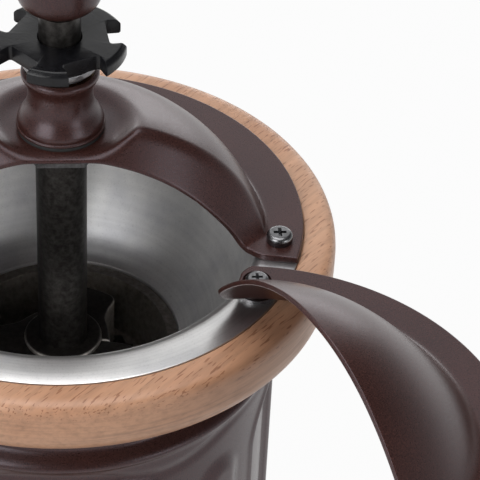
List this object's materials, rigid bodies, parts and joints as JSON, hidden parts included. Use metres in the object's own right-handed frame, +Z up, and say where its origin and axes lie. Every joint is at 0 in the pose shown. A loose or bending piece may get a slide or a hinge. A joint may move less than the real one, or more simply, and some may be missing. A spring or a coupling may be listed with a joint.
{
  "type": "manual coffee grinder",
  "caption": "Hand cranked coffee mill: round beech base with drawer, bronze drum, beech ring, steel hopper under a fixed and a swinging half lid, conical burr with star adjuster.",
  "frame": {"origin": "centre of the underside of the base pad, on the spindle's axis", "axes": "+Z up along the spindle, drawer opens towards -Y, the swinging lid's pivot is on the +X side"},
  "size_m": [0.194, 0.1646, 0.2619],
  "materials": {
    "bronze_paint": "satin brown bronze paint with fine metallic fleck",
    "beech": "oiled, fine brown flecks",
    "sheet_steel": "satin, spun",
    "cast_iron": "dark, lightly polished on the edges",
    "black_oxide": "black oxide, satin",
    "zinc": "dark zinc plate",
    "bush_brass": "turned",
    "rubber": "matt"
  },
  "bodies": {
    "stand": {"base_pad": "rubber", "plinth": "beech", "drum": "bronze_paint", "drum_screws": "zinc", "top_ring": "beech", "ring_screws": "zinc", "hopper": "sheet_steel", "ring_burr": "cast_iron", "bearing_bridge": "cast_iron", "lower_bush": "bush_brass", "bridge_screws": "zinc", "bridge_nuts": "zinc", "spindle_spring": "sheet_steel", "bridge_lid": "bronze_paint", "bridge_lid_screws": "zinc", "pivot_washer": "zinc", "lid_pivot_screw": "zinc", "hub_gasket": "rubber", "bearing_hub": "bronze_paint", "top_bush": "bush_brass", "hub_nut": "zinc"},
    "lid": {"swing_lid": "bronze_paint"},
    "drive": {"key_washer": "sheet_steel"},
    "adjuster": {"adjusting_wheel": "black_oxide"},
    "spindle": {"spindle": "cast_iron", "inner_burr": "cast_iron", "burr_pin": "zinc", "spring_washer": "zinc", "circlip": "zinc", "crank_arm": "bronze_paint", "crank_washer": "zinc", "crank_nut": "bronze_paint", "knob_pin": "zinc", "knob_washer": "zinc"},
    "knob": {"crank_knob": "beech", "knob_plug": "bronze_paint"},
    "drawer": {"drawer_front": "beech", "drawer_box": "beech", "drawer_knob": "bronze_paint", "drawer_knob_screw": "zinc"}
  },
  "joints": [
    {"name": "lid_swing", "type": "hinge", "parent": "stand", "child": "lid", "pos_m": [0.03717, -0.02278, 0.165], "axis": [0, 0, 1], "range_deg": [-116.2, 20]},
    {"name": "crank_turn", "type": "hinge", "parent": "stand", "child": "drive", "pos_m": [0, 0, 0.2], "axis": [0, 0, 1], "continuous": true},
    {"name": "adjuster_turn", "type": "hinge", "parent": "drive", "child": "adjuster", "pos_m": [0, 0, 0.2055], "axis": [0, 0, 1], "range_deg": [-180, 180]},
    {"name": "spindle_lift", "type": "slide", "parent": "drive", "child": "spindle", "axis": [0, 0, 1], "range_m": [-0.00062, 0.00062], "deforming": ["spindle_spring"]},
    {"name": "knob_spin", "type": "hinge", "parent": "spindle", "child": "knob", "pos_m": [-0.09867, 0.03591, 0.235], "axis": [0, 0, 1], "continuous": true},
    {"name": "drawer_slide", "type": "slide", "parent": "stand", "child": "drawer", "axis": [0, -1, 0], "range_m": [0, 0.06]}
  ],
  "couplings": [
    {"joint": "adjuster_turn", "follows": "spindle_lift", "rad_per_m": -5026.5}
  ]
}
